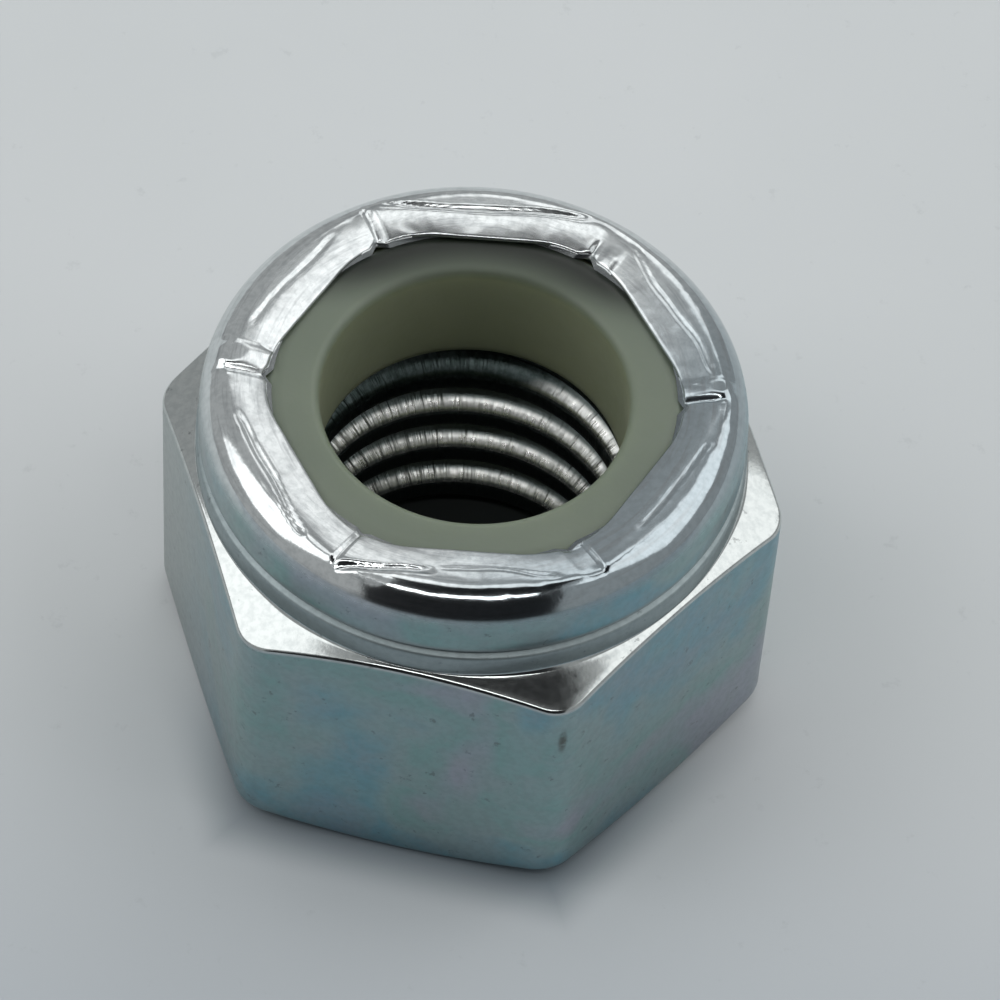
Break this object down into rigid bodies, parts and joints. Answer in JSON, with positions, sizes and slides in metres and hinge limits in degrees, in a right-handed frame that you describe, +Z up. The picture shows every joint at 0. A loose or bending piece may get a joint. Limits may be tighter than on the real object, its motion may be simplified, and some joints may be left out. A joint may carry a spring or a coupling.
{
  "type": "nylon insert lock nut",
  "caption": "Hexagonal steel lock nut with a crimped collar that traps a nylon ring, which grips the bolt thread so the nut can't work loose.",
  "frame": {"origin": "centre of the bearing face, on the thread axis", "axes": "+Z up the thread axis from the bearing face to the crimped lip, +X through a corner of the hexagon, +Y square to two of its flats"},
  "size_m": [0.0162, 0.0142, 0.0109],
  "materials": {
    "zinc_plated_steel": "zinc plate with a clear blue passivate, satin flats and bright tool marks on the crimped lip",
    "nylon": "natural nylon, faintly green and slightly translucent, smooth and low gloss"
  },
  "bodies": {
    "root": {"nut_body": "zinc_plated_steel", "nylon_insert": "nylon"}
  },
  "joints": []
}
